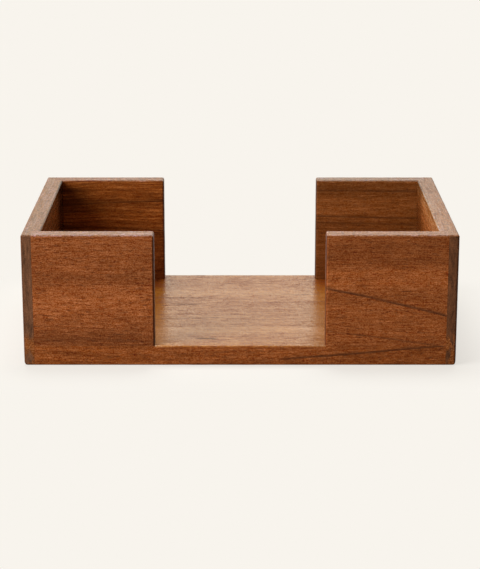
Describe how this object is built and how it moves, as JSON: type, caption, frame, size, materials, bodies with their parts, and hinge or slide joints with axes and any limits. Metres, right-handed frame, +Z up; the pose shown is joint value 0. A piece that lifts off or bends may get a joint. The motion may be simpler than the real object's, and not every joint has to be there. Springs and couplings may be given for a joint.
{
  "type": "napkin holder",
  "caption": "Flat open wooden tray that holds a stack of folded guest napkins, with full end walls and a finger gap in the front and in the back.",
  "frame": {"origin": "middle of the underside, on the table", "axes": "+X along the width to the right as seen from the front, +Y to the back, +Z up"},
  "size_m": [0.235, 0.146, 0.073],
  "materials": {
    "base_wood": "satin lacquered red-brown hardwood, grain along the width",
    "end_wood": "satin lacquered red-brown hardwood, grain along the depth, darker end grain at both ends",
    "wall_wood": "satin lacquered red-brown hardwood, grain along the width",
    "dowel_wood": "plain pale hardwood, hidden"
  },
  "bodies": {
    "root": {"base_board": "base_wood", "left_end_wall": "end_wood", "right_end_wall": "end_wood", "front_left_wall": "wall_wood", "front_right_wall": "wall_wood", "back_left_wall": "wall_wood", "back_right_wall": "wall_wood", "wall_dowels": "dowel_wood"}
  },
  "joints": []
}
